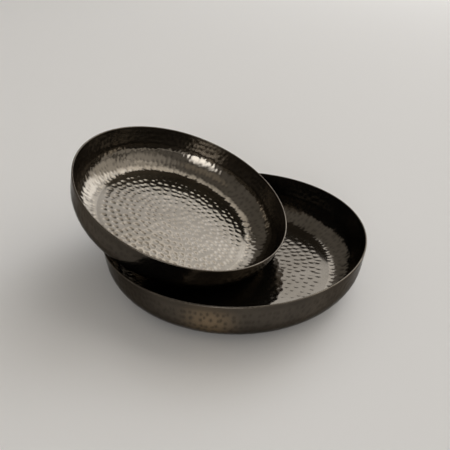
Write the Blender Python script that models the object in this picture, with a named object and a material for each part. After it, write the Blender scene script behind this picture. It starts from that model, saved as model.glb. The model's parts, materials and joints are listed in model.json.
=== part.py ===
"""Two round hammered metal trays of one design, the smaller one leaning in the larger one.

Each tray is one disc of sheet spun into a flat base, a round cove and a steep wall that ends in a
cut and eased rim. Three soft pads are stuck under each base. Units are metres, +Z is up, the origin
is the centre of the large tray's underside.
"""
import math

import bmesh
import bpy
from mathutils import Matrix, Vector

# Sheet and clearance
SHEET = 0.0018            # thickness of the spun sheet
CLEARANCE = 0.0003        # air left between pieces that touch
RIM_EASE = 0.0004         # how far the cut edge of the rim is eased

# The two trays
LARGE_RADIUS = 0.150      # outside radius at the rim
LARGE_DEPTH = 0.0532      # underside of the base to the top of the rim
SMALL_RADIUS = 0.129
SMALL_DEPTH = 0.0513
COVE_RADIUS = 0.0348      # outside radius of the cove between base and wall, the same for both
WALL_ANGLE = 84.3         # degrees from the base to the wall

# How the small tray leans in the large one
LEAN_TILT = 22.0          # degrees between the two bases
LOW_SIDE = -23.5          # degrees from +X to the side that stands on the large tray's floor

# Pads under the bases
PAD_RADIUS = 0.008
PAD_THICKNESS = 0.0016
PAD_EASE = 0.0004         # chamfer round the free face
PAD_PLACE = 0.66          # distance of the pads from the axis over the radius of the flat base
PAD_COUNT = 3
LARGE_PAD_TURN = 90.0     # degrees from the tray's own X axis to its first pad
SMALL_PAD_TURN = 0.0

# Fineness of the round shapes
TRAY_STEPS = 96
COVE_STEPS = 9
PAD_STEPS = 24
SEAT_STEPS = 90           # points looked at on a quarter of the large rim when the lean is worked out
SEAT_HALVINGS = 24        # how often the range of the lean is halved
SHARP_ANGLE = 35.0        # degrees above which an edge stays sharp
WELD = 0.00001            # distance within which spun points on the axis become one


def base_radius(radius, depth):
    """Radius of the flat base, where the cove begins."""
    wall = math.radians(WALL_ANGLE)
    straight = depth - COVE_RADIUS * (1.0 - math.cos(wall))
    return radius - COVE_RADIUS * math.sin(wall) - straight / math.tan(wall)


def outside_profile(radius, depth):
    """Points (r, z) of the outside, from the edge of the flat base up to the rim."""
    wall = math.radians(WALL_ANGLE)
    flat = base_radius(radius, depth)
    points = []
    for step in range(COVE_STEPS + 1):
        angle = wall * step / COVE_STEPS
        points.append((flat + COVE_RADIUS * math.sin(angle), COVE_RADIUS * (1.0 - math.cos(angle))))
    points.append((radius, depth))
    return points


def rim_profile(radius, depth):
    """Four corners (r, z) of the cut and eased rim, from the outside over the top to the inside."""
    wall = math.radians(WALL_ANGLE)
    along = Vector((math.cos(wall), math.sin(wall)))
    across = Vector((-math.sin(wall), math.cos(wall)))
    lip = Vector((radius, depth)) - along * (SHEET * across.y / along.y)
    corners = (
        lip - along * RIM_EASE,
        lip + across * RIM_EASE,
        lip + across * (SHEET - RIM_EASE),
        lip + across * SHEET - along * RIM_EASE,
    )
    return [tuple(corner) for corner in corners]


def shell_profile(radius, depth):
    """Closed section of a tray from the axis under the base, over the rim, to the axis on the floor."""
    wall = math.radians(WALL_ANGLE)
    flat = base_radius(radius, depth)
    bend = COVE_RADIUS - SHEET
    outside = outside_profile(radius, depth)[:-1]
    inside = []
    for step in range(COVE_STEPS + 1):
        angle = wall * step / COVE_STEPS
        inside.append((flat + bend * math.sin(angle), COVE_RADIUS - bend * math.cos(angle)))
    return [(0.0, 0.0)] + outside + rim_profile(radius, depth) + inside[::-1] + [(0.0, SHEET)]


def spin_section(section, steps):
    """Closed mesh from a section spun round the Z axis; its two ends lie on the axis."""
    mesh = bmesh.new()
    corners = [mesh.verts.new((r, 0.0, z)) for r, z in section]
    edges = [mesh.edges.new(pair) for pair in zip(corners, corners[1:])]
    bmesh.ops.spin(
        mesh,
        geom=corners + edges,
        axis=(0.0, 0.0, 1.0),
        cent=(0.0, 0.0, 0.0),
        angle=2.0 * math.pi,
        steps=steps,
        use_merge=True,
    )
    bmesh.ops.remove_doubles(mesh, verts=mesh.verts, dist=WELD)
    bmesh.ops.recalc_face_normals(mesh, faces=mesh.faces)
    return mesh


def add_piece(name, mesh, material):
    """Turn a finished mesh into a named object, smooth but for its sharp edges."""
    data = bpy.data.meshes.new(name)
    mesh.to_mesh(data)
    mesh.free()
    data.materials.append(material)
    data.shade_smooth()
    data.set_sharp_from_angle(angle=math.radians(SHARP_ANGLE))
    piece = bpy.data.objects.new(name, data)
    bpy.context.scene.collection.objects.link(piece)
    return piece


def make_material(name, colour, metallic, roughness):
    material = bpy.data.materials.new(name)
    material.use_nodes = True
    shader = material.node_tree.nodes["Principled BSDF"]
    shader.inputs["Base Color"].default_value = colour
    shader.inputs["Metallic"].default_value = metallic
    shader.inputs["Roughness"].default_value = roughness
    return material


def distance_outside(point, outline):
    """Signed distance of a point (r, z) from an open outline whose outside is on its right."""
    best = None
    for (r0, z0), (r1, z1) in zip(outline, outline[1:]):
        edge = Vector((r1 - r0, z1 - z0))
        offset = Vector((point[0] - r0, point[1] - z0))
        part = min(1.0, max(0.0, offset.dot(edge) / edge.length_squared))
        away = offset - edge * part
        side = 1.0 if away.x * edge.y - away.y * edge.x >= 0.0 else -1.0
        if best is None or away.length < abs(best):
            best = away.length * side
    return best


def seat_height(outline, tilt):
    """Height of the leaning tray's base centre when its low side stands on the large tray's floor."""
    lowest = min(z * math.cos(tilt) - r * math.sin(tilt) for r, z in outline)
    return SHEET + CLEARANCE - lowest


def rim_gap(outline, tilt, height, reach):
    """Smallest air between the leaning tray and the large tray's rim, for a base centre `reach` out."""
    smallest = None
    chord = math.cos(math.pi / TRAY_STEPS)
    for radius, top in rim_profile(LARGE_RADIUS, LARGE_DEPTH):
        upward = top - height
        for step in range(SEAT_STEPS + 1):
            angle = 0.5 * math.pi * step / SEAT_STEPS
            forward = chord * radius * math.cos(angle) - reach
            sideways = chord * radius * math.sin(angle)
            along = forward * math.cos(tilt) + upward * math.sin(tilt)
            above = upward * math.cos(tilt) - forward * math.sin(tilt)
            gap = distance_outside((math.hypot(along, sideways), above), outline)
            smallest = gap if smallest is None else min(smallest, gap)
    return smallest


def lean_place():
    """Where the small tray rests: its low side on the floor, its underside on two points of the rim."""
    tilt = math.radians(LEAN_TILT)
    outline = [(0.0, 0.0)] + outside_profile(SMALL_RADIUS, SMALL_DEPTH)
    height = seat_height(outline, tilt)
    near = 0.0
    far = LARGE_RADIUS
    for _ in range(SEAT_HALVINGS):
        reach = (near + far) / 2.0
        if rim_gap(outline, tilt, height, reach) > CLEARANCE:
            near = reach
        else:
            far = reach
    turn = Matrix.Rotation(math.radians(LOW_SIDE), 4, "Z")
    shift = Matrix.Translation((-near, 0.0, height))
    return turn @ shift @ Matrix.Rotation(tilt, 4, "Y")


def add_tray(name, radius, depth, place, material):
    """One spun tray at its place, with its origin at the centre of its underside."""
    tray = add_piece(name, spin_section(shell_profile(radius, depth), TRAY_STEPS), material)
    tray.matrix_world = place
    return tray


def add_pads(prefix, tray, flat, material, first_angle):
    """Soft round pads stuck to the underside of a tray, evenly spaced."""
    top = -CLEARANCE
    face = top - PAD_THICKNESS
    section = [
        (0.0, face),
        (PAD_RADIUS - PAD_EASE, face),
        (PAD_RADIUS, face + PAD_EASE),
        (PAD_RADIUS, top),
        (0.0, top),
    ]
    arm = PAD_PLACE * flat
    for number in range(PAD_COUNT):
        angle = math.radians(first_angle) + 2.0 * math.pi * number / PAD_COUNT
        pad = add_piece(f"{prefix}_pad_{number + 1}", spin_section(section, PAD_STEPS), material)
        pad.parent = tray
        pad.location = (arm * math.cos(angle), arm * math.sin(angle), 0.0)


for old in list(bpy.data.objects):
    bpy.data.objects.remove(old, do_unlink=True)

large_metal = make_material("large_tray_metal", (0.20, 0.18, 0.16, 1.0), 1.0, 0.2)
small_metal = make_material("small_tray_metal", (0.20, 0.18, 0.16, 1.0), 1.0, 0.2)
pad_rubber = make_material("pad_rubber", (0.05, 0.05, 0.05, 1.0), 0.0, 0.8)

# Large tray, standing on its pads
large_flat = base_radius(LARGE_RADIUS, LARGE_DEPTH)
large_tray = add_tray("large_tray", LARGE_RADIUS, LARGE_DEPTH, Matrix.Identity(4), large_metal)
add_pads("large", large_tray, large_flat, pad_rubber, LARGE_PAD_TURN)

# Small tray, leaning in the large one, its pads clear of the rim it rests on
small_flat = base_radius(SMALL_RADIUS, SMALL_DEPTH)
small_tray = add_tray("small_tray", SMALL_RADIUS, SMALL_DEPTH, lean_place(), small_metal)
add_pads("small", small_tray, small_flat, pad_rubber, SMALL_PAD_TURN)
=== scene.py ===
import json
import math
from collections import namedtuple

import bpy
import numpy as np
from mathutils import Matrix, Vector


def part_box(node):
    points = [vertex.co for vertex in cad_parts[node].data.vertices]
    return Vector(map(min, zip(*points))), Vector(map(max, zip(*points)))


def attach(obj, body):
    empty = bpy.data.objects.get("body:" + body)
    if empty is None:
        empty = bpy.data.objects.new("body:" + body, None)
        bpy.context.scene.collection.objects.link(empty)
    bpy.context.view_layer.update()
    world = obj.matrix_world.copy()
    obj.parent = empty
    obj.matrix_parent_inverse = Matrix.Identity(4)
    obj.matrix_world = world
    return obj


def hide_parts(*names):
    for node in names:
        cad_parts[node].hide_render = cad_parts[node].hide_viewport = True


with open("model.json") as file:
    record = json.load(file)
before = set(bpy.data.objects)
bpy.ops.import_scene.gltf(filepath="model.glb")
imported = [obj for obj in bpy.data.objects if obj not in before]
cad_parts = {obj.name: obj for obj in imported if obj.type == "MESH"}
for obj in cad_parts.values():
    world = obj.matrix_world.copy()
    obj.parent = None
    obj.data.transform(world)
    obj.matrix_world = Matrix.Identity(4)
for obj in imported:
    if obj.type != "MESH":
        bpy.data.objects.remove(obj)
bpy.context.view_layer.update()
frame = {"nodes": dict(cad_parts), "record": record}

# Large tray
# One disc of dark plated sheet, spun to a flat base, a round cove and a steep wall, and hammered from
# the inside in rings with a round-faced hammer. The rim is cut, eased and polished bright.
SHEET = 0.0018             # thickness of the sheet
COVE_RADIUS = 0.0348       # outside radius of the cove between base and wall
WALL_ANGLE = math.radians(84.3)
RIM_EASE = 0.0007          # radius to which the two edges of the rim are eased
LARGE_RADIUS = 0.150       # outside radius at the rim
LARGE_DEPTH = 0.0532       # underside of the base to the top of the rim

FLOOR_MARK = 0.0085        # from mark to mark round a ring and from ring to ring on the floor
FLOOR_PLAIN = 0.0042       # plain width at the edge of the floor
FLOOR_SPREAD = 0.0037      # radius of a mark on the floor
LARGE_SINK = 0.00017       # depth of a mark on the large tray's floor
LARGE_SEED = 41            # start of the random draws for the large tray's marks
COVE_PLAIN = 0.0060        # plain width at the foot of the cove
WALL_MARK = 0.0052         # from mark to mark round a ring on the cove and the wall
WALL_ROW = 0.0080          # from ring to ring up the cove and the wall
WALL_FACE = 0.012          # radius of the round hammer face that made the marks there
WALL_SINK = 0.00022        # depth of these marks
WALL_DRAW = 0.62           # their width over their height, because they are drawn out upwards
FLOOR_WANDER = 0.12        # share of the pitch by which a mark on the floor misses its place
WALL_WANDER = 0.28         # and a mark on the wall
MARK_FORCE = 0.20          # share by which the hammer face behind a mark differs from the usual one
FACE_LIMITS = (0.6, 1.5)   # the least and the most that it may be of the usual one
MARK_EASE = 0.000010       # height over which a mark runs out into the sheet round it
RIM_CALM = 0.0070          # width below the rim in which the marks die out
OUTSIDE_SHARE = 0.90       # how much of a mark shows through on the outside
EVEN_RIDGE = 0.5           # ridge value of plain sheet, between 0 in a wall mark and 1 beside it

FLOOR_STEP = 0.0011        # mesh spacing on the hammered floor
SKIN_STEP = 0.0016         # mesh spacing on the cove and the wall
UNDERSIDE_STEP = 0.0040    # mesh spacing under the base
RING_POINTS = 12           # fewest points in a ring round the axis
RIM_STEPS = 4              # mesh steps round an eased edge

INSIDE, RIM, OUTSIDE = 0, 1, 2
SkinRow = namedtuple("SkinRow", "r z out_r out_z reach side")


def skin_rows(radius, depth):
    """Rows of a tray's skin, from the floor's centre over the rim to the underside's, and its flat radius.

    A row has its place (r, z), the way the sheet faces there, its distance from the centre along the
    skin and the side of the sheet that it is on.
    """
    straight = depth - COVE_RADIUS * (1.0 - math.cos(WALL_ANGLE))
    flat = radius - COVE_RADIUS * math.sin(WALL_ANGLE) - straight / math.tan(WALL_ANGLE)
    along = np.array((math.cos(WALL_ANGLE), math.sin(WALL_ANGLE)))
    across = np.array((-math.sin(WALL_ANGLE), math.cos(WALL_ANGLE)))
    lip = np.array((radius, depth)) - along * (SHEET * across[1] / along[1])

    def side_rows(bend, level, facing, side, flat_step, top):
        rows = []
        steps = math.ceil(flat / flat_step)
        for k in range(steps):
            r = flat * k / steps
            rows.append(SkinRow(r, level, 0.0, facing, r, side))
        turns = math.ceil(bend * WALL_ANGLE / SKIN_STEP)
        for k in range(turns + 1):
            t = WALL_ANGLE * k / turns
            rows.append(SkinRow(flat + bend * math.sin(t), COVE_RADIUS - bend * math.cos(t),
                                -facing * math.sin(t), facing * math.cos(t), flat + bend * t, side))
        foot = np.array((rows[-1].r, rows[-1].z))
        rise = np.linalg.norm(top - foot)
        lifts = math.ceil(rise / SKIN_STEP)
        for k in range(1, lifts + 1):
            point = foot + along * rise * k / lifts
            rows.append(SkinRow(point[0], point[1], facing * across[0], facing * across[1],
                                flat + bend * WALL_ANGLE + rise * k / lifts, side))
        return rows

    inner_edge = lip + across * SHEET - along * RIM_EASE
    outer_edge = lip - along * RIM_EASE
    rows = side_rows(COVE_RADIUS - SHEET, SHEET, 1.0, INSIDE, FLOOR_STEP, inner_edge)
    for centre, first, steps in ((inner_edge - across * RIM_EASE, 0.0, range(1, RIM_STEPS + 1)),
                                 (outer_edge + across * RIM_EASE, 0.5 * math.pi, range(RIM_STEPS))):
        for k in steps:
            t = first + 0.5 * math.pi * k / RIM_STEPS
            away = across * math.cos(t) + along * math.sin(t)
            point = centre + away * RIM_EASE
            rows.append(SkinRow(point[0], point[1], away[0], away[1], 0.0, RIM))
    rows += side_rows(COVE_RADIUS, 0.0, -1.0, OUTSIDE, UNDERSIDE_STEP, outer_edge)[::-1]
    return rows, flat


def hammer_rings(rows, flat, floor_sink, seed):
    """Place, hammer face and depth of every mark, ring by ring, from the floor's centre up the wall."""
    inner = [row for row in rows if row.side == INSIDE]
    reaches = np.array([row.reach for row in inner])
    radii = np.array([row.r for row in inner])
    on_floor = np.arange(0.0, flat - FLOOR_PLAIN, FLOOR_MARK)
    places = np.concatenate((on_floor, np.arange(flat + COVE_PLAIN, reaches[-1], WALL_ROW)))
    floor_ring = places < flat
    pitch = np.where(floor_ring, FLOOR_MARK, WALL_MARK)
    counts = np.maximum(1, np.round(2.0 * math.pi * np.interp(places, reaches, radii) / pitch)).astype(int)
    shape = (len(places), counts.max())
    draw = np.random.default_rng(seed)
    turn = draw.uniform(0.0, 1.0, len(places))
    wander = np.where(floor_ring, FLOOR_WANDER, WALL_WANDER)[:, None] * draw.normal(0.0, 1.0, (2,) + shape)
    force = (1.0 + MARK_FORCE * draw.normal(0.0, 1.0, shape)).clip(*FACE_LIMITS)
    face = np.where(floor_ring, FLOOR_SPREAD ** 2 / (2.0 * floor_sink), WALL_FACE)[:, None]
    index = np.arange(counts.max())[None, :]
    return {
        "place": places,
        "count": counts,
        "turn": turn,
        "reach": np.maximum(0.0, places[:, None] + wander[0] * pitch[:, None]),
        "angle": 2.0 * math.pi * (index + turn[:, None] + wander[1]) / counts[:, None],
        "face": face * force,
        "sink": np.where(floor_ring, floor_sink, WALL_SINK),
        "draw": np.where(floor_ring, 1.0, WALL_DRAW),
        "reaches": reaches,
        "radii": radii,
    }


def mark_sink(rings, reach, radius, angle):
    """How deep the marks of the nearest rings press the sheet in along one row of points."""
    near = np.searchsorted(rings["place"], reach)
    total = np.ones_like(angle)
    for k in range(max(0, near - 2), min(len(rings["place"]), near + 2)):
        count = rings["count"][k]
        middle = np.round(angle / (2.0 * math.pi) * count - rings["turn"][k]).astype(int)
        for shift in range(-1, min(2, count - 1)):
            j = (middle + shift) % count
            mark_reach = rings["reach"][k, j]
            mark_radius = np.interp(mark_reach, rings["reaches"], rings["radii"])
            upwards = (reach - mark_reach) * rings["draw"][k]
            swing = np.sin(0.5 * (angle - rings["angle"][k, j]))
            away = upwards ** 2 + 4.0 * radius * mark_radius * swing ** 2
            total += np.exp((rings["sink"][k] - 0.5 * away / rings["face"][k, j]) / MARK_EASE)
    return MARK_EASE * np.log(total)


def row_relief(row, rings, flat, floor_sink, angle):
    """How far the points of one row are pressed in, and their ridge values."""
    sink = np.zeros_like(angle)
    ridge = np.full_like(angle, EVEN_RIDGE)
    if row.side == RIM:
        return sink, ridge
    calm = min(1.0, max(0.0, (rings["reaches"][-1] - row.reach) / RIM_CALM))
    calm = calm * calm * (3.0 - 2.0 * calm)
    sink = calm * mark_sink(rings, row.reach, row.r, angle)
    if row.reach > flat:
        depth_share = np.minimum(1.0, sink / (calm * WALL_SINK + MARK_EASE))
        ridge += calm * (1.0 - EVEN_RIDGE - depth_share ** 2)
    if row.side == OUTSIDE:
        sink = OUTSIDE_SHARE * np.maximum(0.0, calm * max(floor_sink, WALL_SINK) - sink)
    return sink, ridge


def skin_strip(a, a_count, b, b_count):
    """Triangles between two rings of points, each given by its first point and its count."""
    faces = []
    j = k = 0
    while (j < a_count and a_count > 1) or (k < b_count and b_count > 1):
        a_next = a_count > 1 and j < a_count and (k == b_count or (j + 1) * b_count <= (k + 1) * a_count)
        if b_count == 1 or a_next:
            faces.append((a + j, b + k % b_count, a + (j + 1) % a_count))
            j += 1
        else:
            faces.append((a + j % a_count, b + k, b + (k + 1) % b_count))
            k += 1
    return faces


def hammered_tray(name, radius, depth, floor_sink, seed, finishes):
    """Mesh object of one tray: rings of points round the axis, closed at the floor and the underside."""
    rows, flat = skin_rows(radius, depth)
    rings = hammer_rings(rows, flat, floor_sink, seed)
    around = round(2.0 * math.pi * radius / SKIN_STEP)
    points, ridges, starts, counts = [], [], [], []
    for row in rows:
        count = around
        if row.r == 0.0:
            count = 1
        elif row.r < flat:
            step = FLOOR_STEP if row.side == INSIDE else UNDERSIDE_STEP
            count = max(RING_POINTS, round(2.0 * math.pi * row.r / step))
        angle = 2.0 * math.pi * np.arange(count) / count
        sink, ridge = row_relief(row, rings, flat, floor_sink, angle)
        ring = row.r - sink * row.out_r
        height = row.z - sink * row.out_z
        starts.append(sum(counts))
        counts.append(count)
        ridges.append(ridge)
        points.append(np.stack((ring * np.cos(angle), ring * np.sin(angle), height), axis=1))
    faces, slots = [], []
    for i in range(len(rows) - 1):
        strip = skin_strip(starts[i], counts[i], starts[i + 1], counts[i + 1])
        side = rows[i].side if rows[i].side == rows[i + 1].side else RIM
        faces += strip
        slots += [side] * len(strip)
    mesh = bpy.data.meshes.new(name)
    mesh.from_pydata(np.concatenate(points).tolist(), [], faces)
    for finish in finishes:
        mesh.materials.append(finish)
    mesh.polygons.foreach_set("material_index", slots)
    mesh.attributes.new("ridge", "FLOAT", "POINT").data.foreach_set("value", np.concatenate(ridges))
    mesh.shade_smooth()
    mesh.validate()
    tray = bpy.data.objects.new(name, mesh)
    bpy.context.scene.collection.objects.link(tray)
    return tray


METAL_SHARE = 0.975          # the rest is dull tarnish
SCRATCH_DEPTH = 0.0002       # depth of the finest scratches at full bump
PATCH_RANGE = (0.36, 0.64)   # noise values between which the plating turns from worn to dark
GRAIN_RANGE = (0.30, 0.70)   # noise values between which it turns from polished to hazy
PAINTED_HIGHLIGHT_IN_MARKS = 0.10          # share of the painted highlight that reaches the bottom of a mark
NO_PAINTED_HIGHLIGHT = 0.0001          # reach of a painted highlight that is too small to show, which leaves it out


def set_inputs(tree, node, inputs):
    """Give a node its inputs, each a value or another node's output to link."""
    for socket, value in inputs.items():
        if isinstance(value, bpy.types.NodeSocket):
            tree.links.new(value, node.inputs[socket])
        else:
            node.inputs[socket].default_value = value


def add_node(tree, kind, inputs, **settings):
    """New node of a finish or a lamp, with its settings and inputs."""
    node = tree.nodes.new(kind)
    for setting, value in settings.items():
        setattr(node, setting, value)
    set_inputs(tree, node, inputs)
    return node


def plating_group():
    """Plating that has darkened unevenly: its colour with one painted highlight, its polish and its finest
    scratches.
    """
    group = bpy.data.node_groups.new("darkened_plating", "ShaderNodeTree")
    for socket, kind in (("Worn", "Color"), ("Dark", "Color"), ("Patch Scale", "Float"),
                         ("Ridge Wear", "Float"), ("Painted Highlight Colour", "Color"), ("Painted Highlight Place", "Vector"),
                         ("Painted Highlight Reach", "Float"), ("Polish", "Float"), ("Haze", "Float")):
        group.interface.new_socket(socket, in_out="INPUT", socket_type="NodeSocket" + kind)
    for socket, kind in (("Color", "Color"), ("Roughness", "Float"), ("Height", "Float")):
        group.interface.new_socket(socket, in_out="OUTPUT", socket_type="NodeSocket" + kind)
    given = add_node(group, "NodeGroupInput", {}).outputs
    place = add_node(group, "ShaderNodeTexCoord", {}).outputs["Object"]
    ridge = add_node(group, "ShaderNodeAttribute", {}, attribute_name="ridge").outputs["Fac"]

    # Worn and dark patches
    patches = add_node(group, "ShaderNodeTexNoise", {
        "Vector": place, "Scale": given["Patch Scale"], "Detail": 5.0, "Roughness": 0.6})
    spread = add_node(group, "ShaderNodeMapRange", {
        "Value": patches.outputs["Fac"], "From Min": PATCH_RANGE[0], "From Max": PATCH_RANGE[1]})
    colour = add_node(group, "ShaderNodeMix", {
        "Factor": spread.outputs["Result"], "A": given["Worn"], "B": given["Dark"]}, data_type="RGBA")

    # One painted highlight: a lighter bronze patch round a given place, mostly between the marks
    away = add_node(group, "ShaderNodeVectorMath", {
        0: place, 1: given["Painted Highlight Place"]}, operation="DISTANCE")
    near = add_node(group, "ShaderNodeMapRange", {
        "Value": away.outputs["Value"], "From Min": given["Painted Highlight Reach"], "From Max": 0.0},
        interpolation_type="SMOOTHSTEP")
    proud = add_node(group, "ShaderNodeMapRange", {"Value": ridge, "To Min": PAINTED_HIGHLIGHT_IN_MARKS})
    painted_highlight_mask = add_node(group, "ShaderNodeMath", {
        0: near.outputs["Result"], 1: proud.outputs["Result"]}, operation="MULTIPLY")
    with_painted_highlight = add_node(group, "ShaderNodeMix", {
        "Factor": painted_highlight_mask.outputs["Value"], "A": colour.outputs["Result"], "B": given["Painted Highlight Colour"]},
        data_type="RGBA")

    # Brighter ridges between the wall marks, darker marks
    above = add_node(group, "ShaderNodeMath", {0: ridge, 1: EVEN_RIDGE}, operation="SUBTRACT")
    wear = add_node(group, "ShaderNodeMath", {
        0: above.outputs["Value"], 1: given["Ridge Wear"], 2: 1.0}, operation="MULTIPLY_ADD")
    brightened = add_node(group, "ShaderNodeVectorMath", {
        "Vector": with_painted_highlight.outputs["Result"], "Scale": wear.outputs["Value"]}, operation="SCALE")

    # Fine grain in the polish
    grain = add_node(group, "ShaderNodeTexNoise", {"Vector": place, "Scale": 900.0, "Detail": 3.0})
    polish = add_node(group, "ShaderNodeMapRange", {
        "Value": grain.outputs["Fac"], "From Min": GRAIN_RANGE[0], "From Max": GRAIN_RANGE[1],
        "To Min": given["Polish"], "To Max": given["Haze"]})
    add_node(group, "NodeGroupOutput", {
        "Color": brightened.outputs["Vector"], "Roughness": polish.outputs["Result"],
        "Height": grain.outputs["Fac"]})
    return group


def plated_metal(name, edge_tint, bump, plating):
    """Metal with the plating's colour, polish and scratches; the edge tint is its grazing shine."""
    material = bpy.data.materials.new(name)
    material.use_nodes = True
    tree = material.node_tree
    finish = add_node(tree, "ShaderNodeGroup", plating, node_tree=darkened_plating)
    relief = add_node(tree, "ShaderNodeBump", {
        "Height": finish.outputs["Height"], "Strength": bump, "Distance": SCRATCH_DEPTH})
    set_inputs(tree, tree.nodes["Principled BSDF"], {
        "Base Color": finish.outputs["Color"], "Roughness": finish.outputs["Roughness"],
        "Normal": relief.outputs["Normal"], "Metallic": METAL_SHARE, "Specular Tint": edge_tint})
    return material


darkened_plating = plating_group()
inner_metal = plated_metal("hammered_dark_metal", (0.90, 0.88, 0.86, 1.0), 0.05, {
    "Worn": (0.162, 0.143, 0.118, 1.0), "Dark": (0.132, 0.115, 0.092, 1.0), "Patch Scale": 22.0,
    "Ridge Wear": 0.52, "Painted Highlight Reach": NO_PAINTED_HIGHLIGHT, "Polish": 0.08, "Haze": 0.14})
rim_metal = plated_metal("polished_rim", (0.75, 0.73, 0.71, 1.0), 0.05, {
    "Worn": (0.14, 0.12, 0.095, 1.0), "Dark": (0.085, 0.072, 0.058, 1.0), "Patch Scale": 60.0,
    "Ridge Wear": 0.0, "Painted Highlight Reach": NO_PAINTED_HIGHLIGHT, "Polish": 0.20, "Haze": 0.32})
# The outside carries the painted highlight, a lighter bronze patch on the front of the large tray's outer
# wall
outer_metal = plated_metal("dull_dark_metal", (0.45, 0.44, 0.43, 1.0), 0.08, {
    "Worn": (0.100, 0.086, 0.070, 1.0), "Dark": (0.070, 0.061, 0.051, 1.0), "Patch Scale": 14.0,
    "Ridge Wear": 0.42, "Painted Highlight Colour": (0.235, 0.176, 0.114, 1.0), "Painted Highlight Place": (-0.026, -0.147, 0.031),
    "Painted Highlight Reach": 0.036, "Polish": 0.16, "Haze": 0.26})
tray_finishes = (inner_metal, rim_metal, outer_metal)

large_dish = hammered_tray("large_dish", LARGE_RADIUS, LARGE_DEPTH, LARGE_SINK, LARGE_SEED, tray_finishes)
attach(large_dish, "large_tray")
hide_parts("large_tray")

# Small tray
# The same tray in the next size down, from the same sheet and with deeper marks on its floor. It leans
# in the large one, its low side on the large floor and its underside on the large rim.
SMALL_RADIUS = 0.129
SMALL_DEPTH = 0.0513
SMALL_SINK = 0.00031
SMALL_SEED = 57

small_dish = hammered_tray("small_dish", SMALL_RADIUS, SMALL_DEPTH, SMALL_SINK, SMALL_SEED, tray_finishes)
floor_mount = next(m for m in frame["record"]["mounts"] if m["name"] == "small_serving_floor")
lean = Vector(floor_mount["axis"]).normalized()
small_dish.data.transform(Matrix.Translation(Vector(floor_mount["pos_m"]) - lean * SHEET)
                          @ lean.to_track_quat("Z", "Y").to_matrix().to_4x4())
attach(small_dish, "small_tray")
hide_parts("small_tray")

# Pads
# Six soft round pads, punched from rubber sheet and stuck under the two bases, three to a tray.
# They keep the nodes of the part; only their finish is made here.
pad_rubber = bpy.data.materials.new("pad_rubber_sheet")
pad_rubber.use_nodes = True
pad_tree = pad_rubber.node_tree
pad_place = add_node(pad_tree, "ShaderNodeTexCoord", {}).outputs["Object"]
pad_grain = add_node(pad_tree, "ShaderNodeTexNoise", {
    "Vector": pad_place, "Scale": 700.0, "Detail": 4.0}).outputs["Fac"]
pad_colour = add_node(pad_tree, "ShaderNodeMix", {
    "Factor": pad_grain, "A": (0.018, 0.018, 0.019, 1.0), "B": (0.050, 0.049, 0.047, 1.0)},
    data_type="RGBA")
pad_polish = add_node(pad_tree, "ShaderNodeMapRange", {"Value": pad_grain, "To Min": 0.65, "To Max": 0.90})
pad_relief = add_node(pad_tree, "ShaderNodeBump", {
    "Height": pad_grain, "Strength": 0.25, "Distance": 0.0003})
set_inputs(pad_tree, pad_tree.nodes["Principled BSDF"], {
    "Base Color": pad_colour.outputs["Result"], "Roughness": pad_polish.outputs["Result"],
    "Normal": pad_relief.outputs["Normal"], "Specular IOR Level": 0.3})
for tray in ("large", "small"):
    for number in (1, 2, 3):
        frame["nodes"][f"{tray}_pad_{number}"].data.materials[0] = pad_rubber

# Table, light and camera
# A pale warm-grey table in a dim room. A wide soft box with a brighter middle stands behind to the right,
# its light runs on along the right side and overhead, and a bright window stands low behind the camera.
TABLE_HALF = 6.0

table_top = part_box("large_pad_1")[0].z
table_corners = [(TABLE_HALF * x, TABLE_HALF * y, table_top)
                 for x, y in ((-1, -1), (1, -1), (1, 1), (-1, 1))]
table_mesh = bpy.data.meshes.new("table")
table_mesh.from_pydata(table_corners, [], [(0, 1, 2, 3)])
table = bpy.data.objects.new("table", table_mesh)
bpy.context.scene.collection.objects.link(table)
table_paint = bpy.data.materials.new("pale_table")
table_paint.use_nodes = True
set_inputs(table_paint.node_tree, table_paint.node_tree.nodes["Principled BSDF"], {
    "Base Color": (0.86, 0.845, 0.82, 1.0), "Roughness": 0.9, "Specular IOR Level": 0.1})
table_mesh.materials.append(table_paint)

LAMP_DISTANCE = 9.0
MASK_FULL = 0.32           # share of a panel's width, from its left end, over which a masked corner is full
MASK_REACH = 0.46          # and where it has run out


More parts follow.
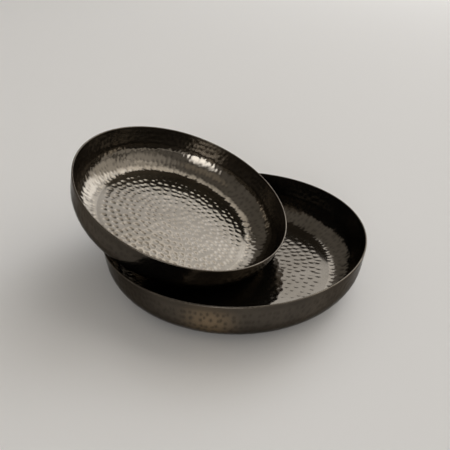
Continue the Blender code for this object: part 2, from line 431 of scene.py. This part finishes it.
def soft_light(name, window, radiance, fades, colour, corner=0.0):
    """Soft panel that fills a window (left, right, low, high) of directions, in degrees.

    Directions count from behind the trays, 90 being to their right. The radiance runs from left to right
    and dims to nothing over a share of the panel at its left, right, low and high edge. The corner is the
    share of the panel's height that is masked at its low left end.
    """
    left, right, low, high = window
    around = math.radians(0.5 * (left + right))
    rise = math.radians(0.5 * (low + high))
    data = bpy.data.lights.new(name, "AREA")
    data.shape = "RECTANGLE"
    data.size = 2.0 * LAMP_DISTANCE * math.tan(0.5 * math.radians(right - left)) * math.cos(rise)
    data.size_y = 2.0 * LAMP_DISTANCE * math.tan(0.5 * math.radians(high - low))
    data.energy = data.size * data.size_y * math.pi
    data.color = colour
    data.use_nodes = True
    tree = data.node_tree
    panel = add_node(tree, "ShaderNodeNewGeometry", {}).outputs["Parametric"]
    place = add_node(tree, "ShaderNodeSeparateXYZ", {"Vector": panel}).outputs
    leftwards, upwards = place["X"], place["Y"]
    strength = add_node(tree, "ShaderNodeMapRange", {
        "Value": leftwards, "To Min": radiance[1], "To Max": radiance[0]}).outputs["Result"]
    mask = add_node(tree, "ShaderNodeMapRange", {
        "Value": leftwards, "From Min": 1.0 - MASK_REACH, "From Max": 1.0 - MASK_FULL, "To Max": corner},
        interpolation_type="SMOOTHSTEP")
    above_mask = add_node(tree, "ShaderNodeMath", {
        0: upwards, 1: mask.outputs["Result"]}, operation="SUBTRACT").outputs["Value"]
    edges = ((leftwards, 1.0, 1.0 - fades[0]), (leftwards, 0.0, fades[1]),
             (above_mask, 0.0, fades[2]), (upwards, 1.0, 1.0 - fades[3]))
    for along, edge, full in edges:
        fade = add_node(tree, "ShaderNodeMapRange", {
            "Value": along, "From Min": edge, "From Max": full}, interpolation_type="SMOOTHSTEP")
        strength = add_node(tree, "ShaderNodeMath", {
            0: strength, 1: fade.outputs["Result"]}, operation="MULTIPLY").outputs["Value"]
    set_inputs(tree, tree.nodes["Emission"], {"Strength": strength})
    lamp = bpy.data.objects.new(name, data)
    toward = Vector((math.sin(around) * math.cos(rise), math.cos(around) * math.cos(rise), math.sin(rise)))
    lamp.location = LAMP_DISTANCE * toward
    lamp.rotation_mode = "QUATERNION"
    lamp.rotation_quaternion = toward.to_track_quat("Z", "Y")
    lamp.visible_camera = False
    bpy.context.scene.collection.objects.link(lamp)


WARM = (1.0, 0.97, 0.93)
DAYLIGHT = (0.97, 1.0, 1.05)
LAMPLIGHT = (1.0, 0.86, 0.68)
soft_light("back_softbox", (-3.0, 61.0, 6.0, 51.0), (1.50, 2.20), (0.10, 0.36, 0.03, 0.08), DAYLIGHT, 0.60)
soft_light("back_softbox_middle", (28.0, 57.0, 6.0, 41.0), (1.4, 1.4), (0.25, 0.30, 0.30, 0.16), DAYLIGHT)
soft_light("right_curtain_far", (40.0, 95.0, -2.0, 72.0), (1.1, 0.70), (0.30, 0.04, 0.15, 0.35), WARM)
soft_light("right_curtain_near", (93.0, 145.0, -2.0, 60.0), (0.72, 0.22), (0.04, 0.30, 0.40, 0.35), WARM)
soft_light("overhead", (11.0, 96.0, 45.0, 82.0), (1.40, 0.55), (0.05, 0.35, 0.06, 0.45), WARM)
soft_light("front_ceiling", (130.0, 215.0, 38.0, 76.0), (0.22, 0.22), (0.35, 0.35, 0.35, 0.35), LAMPLIGHT)
soft_light("front_window", (168.0, 206.0, -4.0, 40.0), (4.9, 4.9), (0.25, 0.25, 0.05, 0.60), DAYLIGHT)

room = bpy.data.worlds.new("dim_room")
room.use_nodes = True
set_inputs(room.node_tree, room.node_tree.nodes["Background"], {
    "Color": (1.0, 0.95, 0.88, 1.0), "Strength": 0.25})
bpy.context.scene.world = room
bpy.context.scene.view_settings.view_transform = "Standard"

# The camera stands in front of the trays and looks down on them. Its place and pitch come from a fit of
# the outlines, made at a focal length that was picked by trial.
PHOTO_WIDTH = 450
FOCAL_PIXELS = 500
CAMERA_PITCH = 30.07       # degrees below level
CAMERA_PLACE = (-0.0102, -0.5011, 0.3424)

view_data = bpy.data.cameras.new("photo_camera")
view_data.sensor_width = 36.0
view_data.lens = view_data.sensor_width * FOCAL_PIXELS / PHOTO_WIDTH
view_data.clip_start = 0.01
photo_camera = bpy.data.objects.new("photo_camera", view_data)
photo_camera.location = CAMERA_PLACE
photo_camera.rotation_euler = (math.radians(90.0 - CAMERA_PITCH), 0.0, 0.0)
bpy.context.scene.collection.objects.link(photo_camera)
bpy.context.scene.camera = photo_camera
